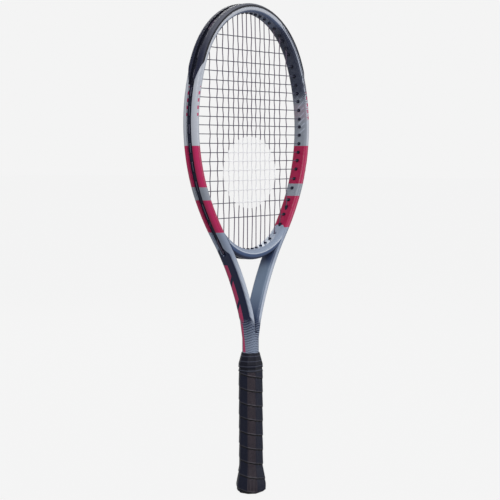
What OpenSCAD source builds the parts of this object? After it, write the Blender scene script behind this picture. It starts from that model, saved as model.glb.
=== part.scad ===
// Tennis racket: hollow moulded frame, strung head, throat bridge, wrapped octagonal handle.
// +Z runs from the butt to the tip, X across the face, Y through the beam. Millimetres.

/* [Overall] */
// Length from the butt to the tip of the bumper guard
overall_length = 685; // [670:1:740]
// Width of the head over the beam, at its widest
head_width = 272; // [236:1:290]

/* [Head outline] */
// Half angle of the round top of the head
crown_angle = 64.7; // [61:0.1:68]
// Radius of the sides, at the widest point
side_radius = 221; // [190:1:240]
// Angle of the sides below the widest point
lower_side_angle = 27.9; // [24:0.1:31]
// Radius of the stretch below the sides
hip_radius = 336; // [280:1:380]
// Angle of the stretch below the sides
hip_angle = 10.9; // [8:0.1:13]

/* [Throat] */
// Angle of each arm from the shaft
arm_angle = 19.6; // [17:0.1:22]
// Radius where each arm runs into the shaft
fork_radius = 80; // [60:1:100]
// How far below the fork the round shaft starts to open
fork_drop = 11; // [9:1:13]
// How far the shaft has opened, on each side, where the arms part from it
fork_step = 3; // [2.6:0.1:3.4]
// How far each arm stands out from the round shaft at the fork
fork_margin = 0.3; // [0.2:0.1:0.6]
// Depth of the hollows inside the shaft
shaft_hollow = 13; // [10:0.5:14]
// Width of the shaft
shaft_width = 23.4; // [22.4:0.1:24.4]
// Radius of the bridge's upper face
bridge_radius = 103; // [98:1:108]
// Drop from the tip to the middle of the bridge's upper face
bridge_drop = 340.5; // [336:0.5:345]
// Height of the bridge's section
bridge_height = 14; // [12:0.5:16]
// Corner radius of the bridge's section
bridge_corner = 6.2; // [4:0.1:6.5]

/* [Beam] */
// Width of the beam in the plane of the strings
beam_width = 11; // [10.5:0.5:13]
// Depth of the beam, front to back
beam_depth = 23; // [22:0.5:27]
// Corner radius of the beam
beam_corner = 5; // [3.5:0.1:5.2]
// Thickness of the moulded wall
wall = 1.8; // [1.4:0.1:2]
// Depth of the string groove around the head
groove_depth = 2.8; // [2.5:0.1:3]
// Width of the string groove
groove_width = 7.8; // [7:0.1:9]

/* [Strings and grommets] */
// Diameter of the string
string_d = 1.3; // [1.1:0.05:1.4]
// Gap between the main and the cross layer
layer_gap = 0.1; // [0.05:0.05:0.2]
// Bore of a grommet barrel
barrel_bore = 3; // [2.9:0.1:3.2]
// Outside diameter of a grommet barrel
barrel_d = 4.5; // [4.2:0.1:4.7]
// Clearance around a barrel in its hole
barrel_clearance = 0.1; // [0.05:0.05:0.2]
// How far a barrel stands out of the inner wall
barrel_proud = 1.5; // [0.8:0.1:1.8]
// Thickness of the strip that joins the barrels
strip_thickness = 0.8; // [0.6:0.1:0.9]
// Thickness of the bumper guard over the beam
bumper_thickness = 1.5; // [1:0.1:2]
// Thickness of the bumper guard over the shoulders
bumper_lip = 0.8; // [0.5:0.1:1.2]
// How far the bumper guard reaches over the shoulders
bumper_cover = 3.2; // [2.4:0.1:4.8]
// How far below the widest point's level the side strips start, as an angle above it
bumper_end_angle = 14; // [11:0.5:17]

/* [Handle] */
// Height of the handle's top above the butt
handle_top = 182; // [170:1:200]
// Half width of the bare handle, across the face
handle_half_x = 15.1; // [14.4:0.1:16]
// Half depth of the bare handle
handle_half_y = 13.1; // [12.3:0.1:14]
// Bevel of the handle's eight sides
handle_bevel = 7.1; // [6:0.1:8]
// Thickness of the wrapped grip
grip_thickness = 1.9; // [1.2:0.1:2.4]
// Width of the grip's tapered end under the collar
grip_taper = 10; // [8:1:14]
// Thickness of the grip at its tapered end
grip_thin = 0.6; // [0.5:0.1:1.2]
// Height of the butt's flare
flare_height = 37; // [32:1:42]
// Height of the flare's widest level
flare_level = 12; // [9:1:15]
// How far the butt cap flares out from the bare handle
flare = 3.9; // [2.5:0.1:4.5]
// Depth of the rebate that the butt cap sits on
cap_rebate = 0.9; // [0.7:0.1:1]
// Thickness of the butt cap's floor
cap_floor = 6; // [4:0.5:7]
// Half width of the butt cap's door
door_half_x = 10.5; // [9:0.1:11]
// Half depth of the butt cap's door
door_half_y = 8.8; // [7.5:0.1:9]
// Thickness of the door
door_thickness = 2; // [1.6:0.1:2.5]
// Clearance around the door and inside the collar
slide_clearance = 0.3; // [0.25:0.05:0.4]
// Thickness of the finishing tape
tape_thickness = 0.2; // [0.15:0.05:0.3]
// Length of the rubber collar
collar_length = 21; // [16:1:22]
// Wall of the rubber collar
collar_wall = 0.7; // [0.6:0.1:1.2]

/* [Hidden] */
$fn = 48;
slack = 0.05;
hairline = 0.003;
reach = 60;
layer = (string_d + layer_gap) / 2;
beam_top = overall_length - bumper_thickness;
half_head = head_width / 2;
half_shaft = shaft_width / 2;
half_fork = half_shaft + fork_margin;

// Gaps between strings: mains from the middle outwards, crosses from the tip downwards
MAIN_GAPS = [5.2, 10, 10.5, 11, 11.5, 12.5, 13, 16.5];
CROSS_GAPS = [46.2, 18, 17, 14, 12.5, 12, 11.5, 13, 12.5, 11.5, 12, 12.5, 12.5, 12, 12.5, 14, 13.5, 17, 20.5];
half_mains = len(MAIN_GAPS);
main_count = 2 * half_mains;
cross_count = len(CROSS_GAPS);
function total(gaps, n) = n < 0 ? 0 : gaps[n] + total(gaps, n - 1);
function main_x(i) = i < half_mains ? -total(MAIN_GAPS, half_mains - 1 - i) : total(MAIN_GAPS, i - half_mains);
function cross_z(j) = overall_length - total(CROSS_GAPS, j);

// Headings turn clockwise from +X; a heading of 90 points down
h_crown = crown_angle;
h_side = 90 + lower_side_angle;
h_hip = h_side + hip_angle;
h_arm = 90 + arm_angle;
h_bumper = 90 - bumper_end_angle;
crown_radius = (half_head - side_radius * (1 - sin(h_crown))) / sin(h_crown);

// Centres of the arcs, each found from the one before it
crown_centre = [0, beam_top - crown_radius];
function next_centre(c, r, next_r, h) = c + (r - next_r) * [sin(h), cos(h)];
side_centre = next_centre(crown_centre, crown_radius, side_radius, h_crown);
hip_centre = next_centre(side_centre, side_radius, hip_radius, h_side);
hip_end = hip_centre + hip_radius * [sin(h_hip), cos(h_hip)];
groove_turn = 4;

// The arm bends out of the hip and then, more tightly, into the shaft
arm_radius = (hip_end[0] - half_fork - fork_radius * (1 - cos(arm_angle))) / (sin(h_arm) - sin(h_hip));
arm_centre = hip_end + arm_radius * [sin(h_hip), cos(h_hip)];
arm_end = arm_centre - arm_radius * [sin(h_arm), cos(h_arm)];
fork_centre = arm_end + fork_radius * [sin(h_arm), cos(h_arm)];
shaft_top = fork_centre[1];

// Bridge: wider than the gap between the arms, then cut to their shape; the core fills its middle
bridge_centre = overall_length - bridge_drop + bridge_radius;
bridge_outer = bridge_radius + bridge_height;
bridge_half_turn = 56;
core_half_turn = 24;
bond = 1.5;
// Where the outermost of its strings comes out beside the arm
bridge_exit = 42.5;
// Where the head leaves the bridge
bridge_end = 55;

// Handle
tang_radius = half_shaft - 0.7;
tang_half_y = beam_depth / 2 - 1.5;
tang_bottom = cap_floor + 2;
cap_top = flare_height - 3;
collar_bottom = handle_top - 4;
collar_top = collar_bottom + collar_length;
grip_bottom = 3;
skin = 0.02;

// ---- Points on the head, at a distance s outside the beam's outer face ----

function on_right(z, s) =
    z >= side_centre[1] + (side_radius + s) * cos(h_crown)
        ? sqrt(pow(crown_radius + s, 2) - pow(z - crown_centre[1], 2))
    : z >= side_centre[1] + (side_radius + s) * cos(h_side)
        ? side_centre[0] + sqrt(pow(side_radius + s, 2) - pow(z - side_centre[1], 2))
    : hip_centre[0] + sqrt(pow(hip_radius + s, 2) - pow(z - hip_centre[1], 2));

function on_top(x, s) = crown_centre[1] + sqrt(pow(crown_radius + s, 2) - x * x);

function on_hip(x, s) =
    abs(x) >= hip_centre[0] + (hip_radius + s) * sin(h_hip)
        ? hip_centre[1] - sqrt(pow(hip_radius + s, 2) - pow(abs(x) - hip_centre[0], 2))
        : arm_centre[1] + sqrt(pow(arm_radius - s, 2) - pow(abs(x) - arm_centre[0], 2));

function on_bridge(x, s) = bridge_centre - sqrt(pow(bridge_outer + s, 2) - x * x);

// A main that meets the head below the bridge's ends leaves through the side of the head
function through_bridge(i) = abs(main_x(i)) < bridge_end;
// The outermost mains in the bridge lean inwards, to come out beside the arms
function exit_x(i) = through_bridge(i) ? sign(main_x(i)) * min(abs(main_x(i)), bridge_exit) : main_x(i);

// ---- Sweeps along the outline ----

// Stands an arc in the plane of the strings: polar angles run from +X to +Z
module arc(centre, from, to)
    translate([centre[0], 0, centre[1]])
        rotate([90, 0, 0])
            rotate_extrude(angle = to - from, start = from, $fn = 180)
                children();

// The child is a section in (s, y), with s = 0 on the beam's outer face. Each stretch stops a
// hair short of the next, and a smaller sleeve inside the walls joins the two
module convex(centre, radius, h0, h1)
    arc(centre, 90 - h1 + hairline, 90 - h0 - hairline) translate([radius, 0]) children();

module concave(centre, radius, h0, h1)
    arc(centre, 270 - h0 + hairline, 270 - h1 - hairline) translate([radius, 0]) mirror([1, 0]) children();

module both_sides() {
    children();
    mirror([1, 0, 0]) children();
}

module crown_sweep() convex(crown_centre, crown_radius, -h_crown, h_crown) children();
module side_sweep(h1 = h_side) convex(side_centre, side_radius, h_crown, h1) children();
module hip_sweep() convex(hip_centre, hip_radius, h_side, h_hip) children();
module arm_sweep(h1 = h_arm) concave(arm_centre, arm_radius, h_hip, h1) children();

sleeve_turn = 0.6;
module crown_sleeve() convex(side_centre, side_radius, h_crown - sleeve_turn, h_crown + sleeve_turn) children();
module side_sleeve() convex(side_centre, side_radius, h_side - sleeve_turn, h_side + sleeve_turn) children();
module hip_sleeve() convex(hip_centre, hip_radius, h_hip - sleeve_turn / 2, h_hip + sleeve_turn / 2) children();
module arm_sleeve() concave(arm_centre, arm_radius, h_arm + sleeve_turn / 2, h_arm - sleeve_turn / 2) children();

module bridge_sweep(turn = bridge_half_turn)
    arc([0, bridge_centre], 270 - turn, 270 + turn) translate([bridge_outer, 0]) children();

// ---- Sections ----

module rounded(w, d, r) {
    square([w - 2 * r, d], center = true);
    square([w, d - 2 * r], center = true);
    for (x = [-1, 1], y = [-1, 1]) translate([x * (w / 2 - r), y * (d / 2 - r)]) circle(r);
}

// An inset draws the section of the sleeve inside the wall
module beam_outline(inset = 0)
    translate([-beam_width / 2, 0])
        rounded(beam_width - 2 * inset, beam_depth - 2 * inset, beam_corner - inset);

module beam_cavity(inset = 0) {
    inner = beam_width - wall + inset;
    outer = groove_depth + wall - inset;
    translate([-(inner + outer) / 2, 0]) rounded(inner - outer, beam_depth - 2 * wall + 2 * inset, 2.2);
}

module groove(inset = 0)
    translate([-groove_depth - inset, -groove_width / 2 - inset])
        square([groove_depth + reach, groove_width + 2 * inset]);

module hollow_beam(inset = 0) difference() {
    beam_outline(inset);
    beam_cavity(inset);
}

module grooved_beam(inset = 0) difference() {
    hollow_beam(inset);
    groove(inset);
}

module strip_section(inset = 0) translate([-groove_depth + slack + inset, -groove_width / 2 + 2 * slack + inset])
    square([strip_thickness - 2 * inset, groove_width - 4 * slack - 2 * inset]);

module bridge_outline() translate([-bridge_height / 2, 0]) rounded(bridge_height, beam_depth, bridge_corner);
module bridge_hollow() {
    outer = groove_depth + wall;
    translate([-(bridge_height - wall + outer) / 2, 0])
        rounded(bridge_height - wall - outer, beam_depth - 2 * wall, 2);
}

// ---- Grommet holes, barrels and bores: cylinders along each string ----

module along(a, b, d) {
    v = b - a;
    translate(a) rotate([0, atan2(v[0], v[2]), 0]) cylinder(d = d, h = norm(v), $fn = 24);
}

// A string's hole runs from s = inner to s = outer at its own place on the head
module top_hole(i, d, inner, outer)
    along([main_x(i), 0, on_top(main_x(i), inner)], [main_x(i), 0, on_top(main_x(i), outer)], d);
module hip_hole(i, d, inner, outer)
    along([main_x(i), 0, on_hip(main_x(i), outer)], [main_x(i), 0, on_hip(main_x(i), inner)], d);
module side_hole(j, side, d, inner, outer)
    along([side * on_right(cross_z(j), inner), 0, cross_z(j)], [side * on_right(cross_z(j), outer), 0, cross_z(j)], d);
module bridge_hole(i, d, inner, outer) {
    a = [main_x(i), 0, on_bridge(main_x(i), -bridge_height)];
    b = [exit_x(i), 0, on_bridge(exit_x(i), 0)];
    u = (b - a) / norm(b - a);
    along(b + u * outer, a - u * inner, d);
}

// A barrel ends inside the strip, so it stops sooner where the string meets the strip at a slant
seat = groove_depth - 0.3;
function slant_across(z) = z > crown_centre[1] ? abs(z - crown_centre[1]) / crown_radius
    : min(1, abs(z - side_centre[1]) / side_radius);
function slant_up(x) = min(1, abs(x) / crown_radius);
inner_end = -beam_width - barrel_proud;
module top_barrel(i) top_hole(i, barrel_d, inner_end, -seat - slant_up(main_x(i)) * barrel_d / 2);
module hip_barrel(i) hip_hole(i, barrel_d, inner_end, -seat - 0.85 * barrel_d / 2);
module side_barrel(j, side)
    side_hole(j, side, barrel_d, inner_end, -seat - slant_across(cross_z(j)) * barrel_d / 2);
function slant_down(i) = exit_x(i) == main_x(i) ? abs(main_x(i)) / bridge_outer : 0;
module bridge_barrel(i) bridge_hole(i, barrel_d, barrel_proud, -seat - slant_down(i) * barrel_d / 2);

function in_hips() = [for (i = [0:main_count - 1]) if (!through_bridge(i)) i];
function in_bridge() = [for (i = [0:main_count - 1]) if (through_bridge(i)) i];
// The crosses above the bumper guard's ends pass through the guard
bumper_end_z = side_centre[1] + side_radius * cos(h_bumper);
function in_bumper() = [for (j = [0:cross_count - 1]) if (cross_z(j) > bumper_end_z + barrel_d) j];
function in_strips() = [for (j = [0:cross_count - 1]) if (cross_z(j) <= bumper_end_z + barrel_d) j];

module frame_holes(d) {
    for (i = [0:main_count - 1]) top_hole(i, d, -beam_width - 4, 2);
    for (i = in_hips()) hip_hole(i, d, -beam_width - 4, 2);
    for (j = [0:cross_count - 1], side = [-1, 1]) side_hole(j, side, d, -beam_width - 4, 2);
}

// ---- Frame ----

// A round body that opens upwards: it trims the corners of the arms where they leave the shaft
fork_foot = shaft_top - fork_drop;
module fork_envelope(inset = 0) translate([0, 0, fork_foot]) rotate_extrude($fn = 96)
    polygon([[0, 0], [half_shaft - 0.2 - inset, 0], [half_shaft + fork_step - inset, fork_drop + 16],
             [half_shaft + 2.3 * fork_step - inset, fork_drop + 27], [2.5 * reach, 2 * reach],
             [2.5 * reach, 4 * reach], [0, 4 * reach]]);

module fork_section() difference() {
    beam_outline();
    intersection() {
        beam_cavity();
        square([2 * reach, shaft_hollow], center = true);
    }
}

module shaft_body(radius, half_y, bottom, top) intersection() {
    translate([0, 0, bottom]) cylinder(r = radius, h = top - bottom, $fn = 96);
    translate([-reach, -half_y, bottom - 1]) cube([2 * reach, 2 * half_y, top - bottom + 2]);
}

module shaft_cavities() both_sides()
    translate([0, 0, tang_bottom - 1]) linear_extrude(shaft_top - tang_bottom + 1)
        translate([half_fork, 0]) intersection() {
            beam_cavity();
            square([2 * reach, shaft_hollow], center = true);
        }

sleeve_inset = 0.4;
module shaft_sleeve() intersection() {
    translate([half_fork, 0, shaft_top - 2]) linear_extrude(4) hollow_beam(sleeve_inset);
    shaft_body(half_shaft - sleeve_inset, beam_depth / 2, shaft_top - 3, shaft_top + 3);
}

module frame() color("slategray") difference() {
    union() {
        crown_sweep() grooved_beam();
        both_sides() {
            crown_sleeve() grooved_beam(sleeve_inset);
            side_sweep() grooved_beam();
            side_sleeve() grooved_beam(sleeve_inset);
            hip_sweep() grooved_beam();
            hip_sleeve() grooved_beam(sleeve_inset);
            intersection() {
                union() {
                    difference() {
                        arm_sweep() hollow_beam();
                        concave(arm_centre, arm_radius, h_hip + 0.1, h_hip - groove_turn) groove();
                    }
                    concave(fork_centre, fork_radius, h_arm, 90) fork_section();
                }
                fork_envelope();
            }
            intersection() {
                arm_sleeve() hollow_beam(sleeve_inset);
                fork_envelope(sleeve_inset);
            }
            shaft_sleeve();
        }
        difference() {
            union() {
                shaft_body(half_shaft, beam_depth / 2, handle_top, fork_foot + 3);
                intersection() {
                    fork_envelope();
                    translate([0, 0, fork_foot]) linear_extrude(fork_drop)
                        rounded(2 * half_fork, beam_depth, beam_corner);
                }
                shaft_body(tang_radius, tang_half_y, tang_bottom, handle_top);
            }
            shaft_cavities();
        }
    }
    frame_holes(barrel_d + 2 * barrel_clearance);
}

// ---- Bridge, bonded between the arms ----

// What the bridge is cut to: its ends are moulded a little way into the walls of the head and arms
module head_envelope() {
    inside = beam_width - bond;
    both_sides() {
        arc(hip_centre, 90 - h_hip - 0.4, 90 - h_side + 2)
            translate([hip_radius - inside, -reach]) square([inside + reach, 2 * reach]);
        arc(arm_centre, 270 - h_hip - 0.4, 270 - h_arm)
            translate([arm_radius + inside - beam_width * 3, -reach]) square([beam_width * 3, 2 * reach]);
    }
}

module throat_bridge() color("lightsteelblue") difference() {
    bridge_sweep() difference() {
        bridge_outline();
        bridge_hollow();
        groove();
    }
    head_envelope();
    for (i = in_bridge()) bridge_hole(i, barrel_d + 2 * barrel_clearance, 4, 2);
    for (i = in_hips()) hip_hole(i, barrel_d + 2 * barrel_clearance, -beam_width - 8, 0);
}

module bridge_core() color("wheat") difference() {
    bridge_sweep(core_half_turn) core_section();
    for (i = in_bridge()) bridge_hole(i, barrel_d + 2 * barrel_clearance, 4, 2);
}

module core_section() {
    outer = groove_depth + wall;
    translate([-(bridge_height - wall + outer) / 2, 0])
        rounded(bridge_height - wall - outer - 2 * slack, beam_depth - 2 * wall - 2 * slack, 2);
}

// ---- Bumper guard and grommet strips ----

module bumper_section() {
    strip_section();
    difference() {
        intersection() {
            translate([-beam_width / 2, 0])
                rounded(beam_width + 2 * bumper_thickness, beam_depth + 2 * bumper_lip, beam_corner + bumper_lip);
            translate([-bumper_cover, -reach]) square([reach, 2 * reach]);
        }
        translate([-beam_width / 2, 0])
            rounded(beam_width + 2 * slack, beam_depth + 2 * slack, beam_corner + slack);
        square([reach, groove_width - 4 * slack - 1.6], center = true);
    }
    // Side walls of the groove join the rails to the strip
    for (side = [-1, 1])
        translate([-groove_depth + slack, side * (groove_width / 2 - 2 * slack - 0.4) - 0.4])
            square([groove_depth + 0.4, 0.8]);
}

// The sleeve inside the guard's rails and strip
module bumper_sleeve() {
    strip_section(0.2);
    for (side = [-1, 1]) translate([0.3, side * 5 - 1.3]) square([bumper_thickness - 0.6, 2.6]);
}

// Slanted ends of the guard's rails
module rail_ends() for (side = [-1, 1])
    rotate([90, 0, 90]) linear_extrude(2 * half_head, center = true)
        polygon([[side * (groove_width / 2 - slack), bumper_end_z - 20],
                 [side * (groove_width / 2 - slack), bumper_end_z + 4],
                 [side * beam_depth * 0.62, bumper_end_z + 38],
                 [side * beam_depth * 0.62, bumper_end_z - 20]]);

module bumper_guard() color("dimgray") difference() {
    union() {
        crown_sweep() bumper_section();
        both_sides() {
            crown_sleeve() bumper_sleeve();
            difference() {
                side_sweep(h_bumper) bumper_section();
                rail_ends();
            }
        }
        for (i = [0:main_count - 1]) top_barrel(i);
        for (j = in_bumper(), side = [-1, 1]) side_barrel(j, side);
    }
    for (i = [0:main_count - 1]) top_hole(i, barrel_bore, -beam_width - 5, 3);
    for (j = in_bumper(), side = [-1, 1]) side_hole(j, side, barrel_bore, -beam_width - 5, 3);
}

module on_side(side) {
    if (side > 0) children();
    if (side < 0) mirror([1, 0, 0]) children();
}

module grommet_strip(side) color("black") difference() {
    union() {
        on_side(side) {
            convex(side_centre, side_radius, h_bumper + 0.1, h_side) strip_section();
            side_sleeve() strip_section(0.2);
            hip_sweep() strip_section();
            hip_sleeve() strip_section(0.2);
            arm_sweep(h_hip - groove_turn + 0.3) strip_section();
        }
        for (j = in_strips()) side_barrel(j, side);
        for (i = in_hips()) if (sign(main_x(i)) == side) hip_barrel(i);
    }
    for (j = in_strips()) side_hole(j, side, barrel_bore, -beam_width - 5, 3);
    for (i = in_hips()) if (sign(main_x(i)) == side) hip_hole(i, barrel_bore, -beam_width - 5, 3);
}

module grommet_strip_throat() color("black") difference() {
    union() {
        bridge_sweep(asin((bridge_exit + 0.9) / bridge_outer)) strip_section();
        for (i = in_bridge()) bridge_barrel(i);
    }
    for (i = in_bridge()) bridge_hole(i, barrel_bore, 5, 3);
}

// ---- Strings: straight runs in two layers, joined by the loops in the groove ----

loop_s = -groove_depth + strip_thickness + slack + string_d / 2 + 0.55;

module run(a, b) along(a, b, string_d);
module bend(p) translate(p) sphere(d = string_d * 1.06, $fn = 24);

function main_top(i) = [main_x(i), layer, on_top(main_x(i), loop_s)];
function main_foot(i) = through_bridge(i)
    ? [main_x(i), layer, on_bridge(main_x(i), -bridge_height)] : [main_x(i), layer, on_hip(main_x(i), loop_s)];
function main_exit(i) = through_bridge(i) ? [exit_x(i), layer, on_bridge(exit_x(i), loop_s)] : main_foot(i);
function cross_end(j, side) = [side * on_right(cross_z(j), loop_s), -layer, cross_z(j)];

module main_strings() color("rosybrown") {
    for (i = [0:main_count - 1]) {
        run(main_foot(i), main_top(i));
        bend(main_foot(i));
        bend(main_top(i));
        if (main_exit(i) != main_foot(i)) {
            run(main_exit(i), main_foot(i));
            bend(main_exit(i));
        }
    }
    for (i = [0:2:main_count - 2]) run(main_top(i), main_top(i + 1));
    for (i = [1:2:main_count - 3]) run(main_exit(i), main_exit(i + 1));
}

module cross_strings() color("gray") {
    for (j = [0:cross_count - 1]) {
        run(cross_end(j, -1), cross_end(j, 1));
        for (side = [-1, 1]) bend(cross_end(j, side));
    }
    for (j = [0:cross_count - 2]) {
        side = j % 2 == 0 ? 1 : -1;
        run(cross_end(j, side), cross_end(j + 1, side));
    }
}

// ---- Handle ----

module octagon(a, b, c)
    polygon([[a, b - c], [a - c, b], [c - a, b], [-a, b - c], [-a, c - b], [c - a, -b], [a - c, -b], [a, c - b]]);
module handle_octagon(grow = 0)
    octagon(handle_half_x + grow, handle_half_y + grow, handle_bevel + grow * (2 - sqrt(2)));

module slice(z) translate([0, 0, z]) linear_extrude(skin) children();

module pallet() difference() {
    union() {
        translate([0, 0, cap_top]) linear_extrude(handle_top - cap_top) handle_octagon();
        translate([0, 0, cap_floor + 1]) linear_extrude(cap_top - cap_floor - 1) handle_octagon(-cap_rebate);
    }
    shaft_body(tang_radius + slack, tang_half_y + slack, 0, handle_top + 1);
    cap_staple_solids(slack);
}

module handle_pallet(side) color("darkslategray") intersection() {
    pallet();
    translate([-reach, side > 0 ? slack / 2 : -reach, 0]) cube([2 * reach, reach - slack / 2, overall_length]);
}

module cap_outer() hull() {
    slice(0) handle_octagon(flare - 2.4);
    slice(1.5) handle_octagon(flare - 0.9);
    slice(4) handle_octagon(flare - 0.2);
    slice(flare_level) handle_octagon(flare);
    slice(flare_level + 0.5) handle_octagon(flare);
    slice(cap_top - skin) handle_octagon(flare * (flare_height - cap_top) / (flare_height - flare_level));
}

module door_opening(grow) octagon(door_half_x + grow, door_half_y + grow, 4 + grow);

module butt_cap() color("black") difference() {
    cap_outer();
    translate([0, 0, cap_floor]) linear_extrude(flare_height) handle_octagon(-cap_rebate + slack);
    translate([0, 0, -1]) linear_extrude(cap_floor + 2) door_opening(slide_clearance);
    cap_staple_solids(slack);
    grip_staple_solid(slack);
}

module butt_cap_door() color("dimgray") {
    translate([0, 0, 0.4]) linear_extrude(door_thickness) door_opening(0);
    for (side = [-1, 1])
        translate([-4, side * (door_half_y - 1.2) - 0.6, door_thickness]) cube([8, 1.2, cap_floor - door_thickness + 1]);
    translate([-0.75, -door_half_y + 1, door_thickness]) cube([1.5, 2 * door_half_y - 2, 1.4]);
}

module staple(grow, width, depth) {
    translate([-grow, -width / 2 - grow, -0.45 - grow]) cube([0.6 + 2 * grow, width + 2 * grow, 0.9 + 2 * grow]);
    for (side = [-1, 1])
        translate([-depth - grow, side * (width / 2 - 0.3) - 0.3 - grow, -0.45 - grow])
            cube([depth + grow + 0.3, 0.6 + 2 * grow, 0.9 + 2 * grow]);
}

staple_level = 24;
cap_grow_at_staple = flare * (flare_height - staple_level) / (flare_height - flare_level);
module cap_staple_solids(grow) for (turn = [0, 180])
    rotate([0, 0, turn]) translate([handle_half_x + cap_grow_at_staple - 1, 0, staple_level]) staple(grow, 9, 2.9);
module grip_staple_solid(grow)
    rotate([0, 0, 90]) translate([handle_half_y + flare - 1.2, 0, flare_level - 3]) staple(grow, 8, 2.2);

module butt_cap_staples() color("silver") cap_staple_solids(0);
module grip_staple() color("silver") grip_staple_solid(0);

// The wrapped grip, from over the butt cap to its tapered end under the collar
module grip_form(grow) {
    hull() {
        slice(grip_bottom) handle_octagon(flare - 0.5 + grow);
        slice(flare_level) handle_octagon(flare + grow);
        slice(flare_level + 0.5) handle_octagon(flare + grow);
        slice(flare_height) handle_octagon(grow);
    }
    translate([0, 0, flare_height]) linear_extrude(handle_top - grip_taper - flare_height) handle_octagon(grow);
}

module grip_shoulder(grow) hull() {
    slice(handle_top - grip_taper) handle_octagon(grip_thickness + grow);
    slice(handle_top - grip_taper / 2) handle_octagon(grip_thin + grow);
}

module base_grip() color("black") difference() {
    union() {
        grip_form(grip_thickness);
        grip_shoulder(0);
        translate([0, 0, handle_top - grip_taper / 2]) linear_extrude(grip_taper / 2) handle_octagon(grip_thin);
    }
    hull() {
        slice(-1) handle_octagon(flare + slack);
        slice(flare_level + 0.5) handle_octagon(flare + slack);
        slice(flare_height) handle_octagon(slack);
    }
    translate([0, 0, flare_height]) linear_extrude(handle_top) handle_octagon(slack);
}

module tape_form(grow) {
    grip_shoulder(grow);
    translate([0, 0, handle_top - grip_taper / 2]) linear_extrude(grip_taper / 2 + 1) handle_octagon(grip_thin + grow);
}

module finishing_tape() color("black") difference() {
    tape_form(tape_thickness + slack);
    tape_form(slack);
    translate([0, 0, handle_top - grip_taper - 1]) linear_extrude(1.2) square(2 * reach, center = true);
    translate([0, 0, handle_top]) linear_extrude(3) square(2 * reach, center = true);
}

collar_grow = grip_thin + tape_thickness + slack + slide_clearance;
module rubber_collar() color("black") difference() {
    hull() {
        slice(collar_bottom) handle_octagon(collar_grow + collar_wall);
        slice(handle_top + 1) handle_octagon(collar_grow + collar_wall - 0.2);
        translate([0, 0, collar_top - 2]) cylinder(r = half_shaft + slide_clearance + 1.3, h = skin, $fn = 32);
        translate([0, 0, collar_top - skin]) cylinder(r = half_shaft + slide_clearance + 0.8, h = skin, $fn = 32);
    }
    translate([0, 0, collar_bottom - 1]) linear_extrude(handle_top + 1 - collar_bottom + 1) handle_octagon(collar_grow);
    shaft_body(half_shaft + slide_clearance, beam_depth / 2 + slide_clearance, collar_bottom - 1, collar_top + 1);
}

frame();
throat_bridge();
bridge_core();
bumper_guard();
grommet_strip(-1);  // grommet_strip_left
grommet_strip(1);  // grommet_strip_right
grommet_strip_throat();
main_strings();
cross_strings();
handle_pallet(-1);  // handle_pallet_front
handle_pallet(1);  // handle_pallet_rear
butt_cap();
butt_cap_door();
butt_cap_staples();
grip_staple();
base_grip();
finishing_tape();
rubber_collar();
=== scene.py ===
# Tennis racket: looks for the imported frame. Metres, racket standing on its butt, strings facing the front.
import math
import bpy
from mathutils import Matrix, Vector


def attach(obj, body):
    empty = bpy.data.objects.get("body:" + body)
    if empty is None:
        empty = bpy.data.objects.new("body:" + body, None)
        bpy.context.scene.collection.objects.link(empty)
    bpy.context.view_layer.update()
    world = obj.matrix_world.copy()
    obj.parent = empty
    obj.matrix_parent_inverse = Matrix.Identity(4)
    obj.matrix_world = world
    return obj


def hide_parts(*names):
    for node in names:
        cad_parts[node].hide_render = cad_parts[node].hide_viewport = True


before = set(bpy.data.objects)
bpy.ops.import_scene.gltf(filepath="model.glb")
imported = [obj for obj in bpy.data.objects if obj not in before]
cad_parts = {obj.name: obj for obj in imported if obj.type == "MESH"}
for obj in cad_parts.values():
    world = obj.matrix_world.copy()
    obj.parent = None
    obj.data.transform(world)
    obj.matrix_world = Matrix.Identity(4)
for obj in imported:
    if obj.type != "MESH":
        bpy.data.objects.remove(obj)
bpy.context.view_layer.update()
mm = 0.001

# Camera
cameraSet = {"lens": 97.2, "aim": (0, 0, 342.5), "azimuth": -53.941, "elevation": 4.159, "roll": -0.266,
             "distance": 1893.4, "slideRight": 0.098, "slideUp": -0.85}


def buildCamera(s):
    a, e, r = (math.radians(s[k]) for k in ("azimuth", "elevation", "roll"))
    back = Vector((math.sin(a) * math.cos(e), -math.cos(a) * math.cos(e), math.sin(e)))
    right = Vector((math.cos(a), math.sin(a), 0))
    up = back.cross(right)
    place = Vector(s["aim"]) + back * s["distance"] - right * s["slideRight"] - up * s["slideUp"]
    turnedRight = math.cos(r) * right + math.sin(r) * up
    turnedUp = math.cos(r) * up - math.sin(r) * right
    camera = bpy.data.objects.new("camera", bpy.data.cameras.new("camera"))
    camera.data.lens = s["lens"]
    camera.data.clip_end = 50
    camera.matrix_world = Matrix.Translation(place * mm) @ Matrix((turnedRight, turnedUp, back)).transposed().to_4x4()
    bpy.context.scene.collection.objects.link(camera)
    bpy.context.scene.camera = camera


buildCamera(cameraSet)
print("camera placed")


# Node helpers
def shade(hexColour):
    parts = [int(hexColour[i:i + 2], 16) / 255 for i in (0, 2, 4)]
    return tuple(p / 12.92 if p <= 0.04045 else ((p + 0.055) / 1.055) ** 2.4 for p in parts) + (1,)


def addNode(tree, kind, **settings):
    node = tree.nodes.new(kind)
    for name, value in settings.items():
        setattr(node, name, value)
    return node


def feed(tree, value, socket):
    if isinstance(value, bpy.types.NodeSocket):
        tree.links.new(value, socket)
    else:
        socket.default_value = value


def calc(tree, operation, *values, clamp=False):
    node = addNode(tree, "ShaderNodeMath", operation=operation, use_clamp=clamp)
    for i, value in enumerate(values):
        feed(tree, value, node.inputs[i])
    return node.outputs[0]


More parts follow.
